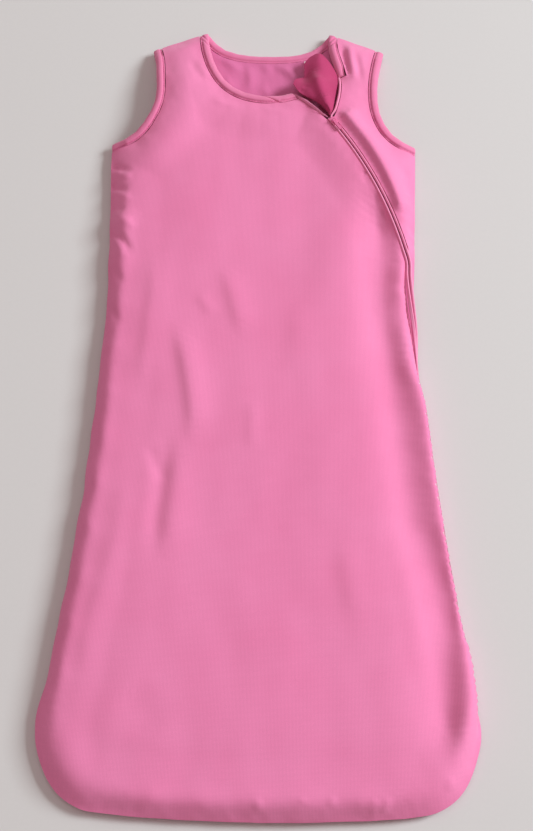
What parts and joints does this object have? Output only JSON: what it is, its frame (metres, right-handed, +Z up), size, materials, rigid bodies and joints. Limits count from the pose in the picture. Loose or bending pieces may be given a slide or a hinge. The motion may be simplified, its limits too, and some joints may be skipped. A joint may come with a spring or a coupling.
{
  "type": "baby sleeping bag",
  "caption": "Sleeveless padded baby sleeping bag lying flat, flared to a rounded hem, with bound neck and armholes and a curved zip beside the front panel.",
  "frame": {"origin": "on the floor under the middle of the bag's bounding box", "axes": "+Y along the bag to the neck, +Z up out of the front, +X to the wearer's left"},
  "size_m": [0.427, 0.857, 0.0366],
  "materials": {
    "outer_jersey": "matte cotton jersey",
    "lining_jersey": "matte cotton jersey",
    "binding_jersey": "matte folded jersey",
    "guard_jersey": "matte cotton jersey",
    "white_wadding": "soft fibre wadding",
    "woven_tape": "woven polyester tape",
    "nylon_coil": "satin moulded nylon",
    "lacquered_zinc": "satin lacquer",
    "satin_tag": "white satin weave"
  },
  "bodies": {
    "bag": {"back_shell": "outer_jersey", "back_wadding": "white_wadding", "back_lining": "lining_jersey", "front_shell": "outer_jersey", "front_wadding": "white_wadding", "front_lining": "lining_jersey", "side_front_shell": "outer_jersey", "side_front_wadding": "white_wadding", "side_front_lining": "lining_jersey", "neck_binding": "binding_jersey", "armhole_binding_left": "binding_jersey", "armhole_binding_right": "binding_jersey", "zip_tape_main": "woven_tape", "zip_tape_side": "woven_tape", "zip_coil_main": "nylon_coil", "zip_coil_side": "nylon_coil", "side_top_stop": "nylon_coil", "bottom_stop": "nylon_coil", "zip_guard": "guard_jersey", "size_tag": "satin_tag"},
    "slider": {"zip_slider": "lacquered_zinc"},
    "pull": {"zip_pull": "lacquered_zinc"},
    "guard_top": {"zip_guard_top": "guard_jersey"},
    "front_corner": {"corner_shell": "outer_jersey", "corner_wadding": "white_wadding", "corner_lining": "lining_jersey", "corner_binding": "binding_jersey", "corner_tape": "woven_tape", "corner_coil": "nylon_coil", "corner_top_stop": "nylon_coil"}
  },
  "joints": [
    {"name": "zip_slider_travel", "type": "hinge", "parent": "bag", "child": "slider", "pos_m": [-0.24263, 0.05748, -0.11792], "axis": [0.2772, 0.2092, -0.9378], "range_deg": [0, 23.42]},
    {"name": "zip_pull_swing", "type": "hinge", "parent": "slider", "child": "pull", "pos_m": [0.07195, 0.30401, 0.0352], "axis": [-0.7885, -0.615, -0.0001], "range_deg": [0, 165]},
    {"name": "zip_guard_flip", "type": "hinge", "parent": "bag", "child": "guard_top", "pos_m": [0.06876, 0.31085, 0.0366], "axis": [0.1478, 0.9712, -0.1867], "range_deg": [0, 150]},
    {"name": "front_corner_fold", "type": "hinge", "parent": "bag", "child": "front_corner", "pos_m": [0.068, 0.309, 0.0326], "axis": [0.9248, -0.3805, 0], "range_deg": [0, 120]}
  ]
}
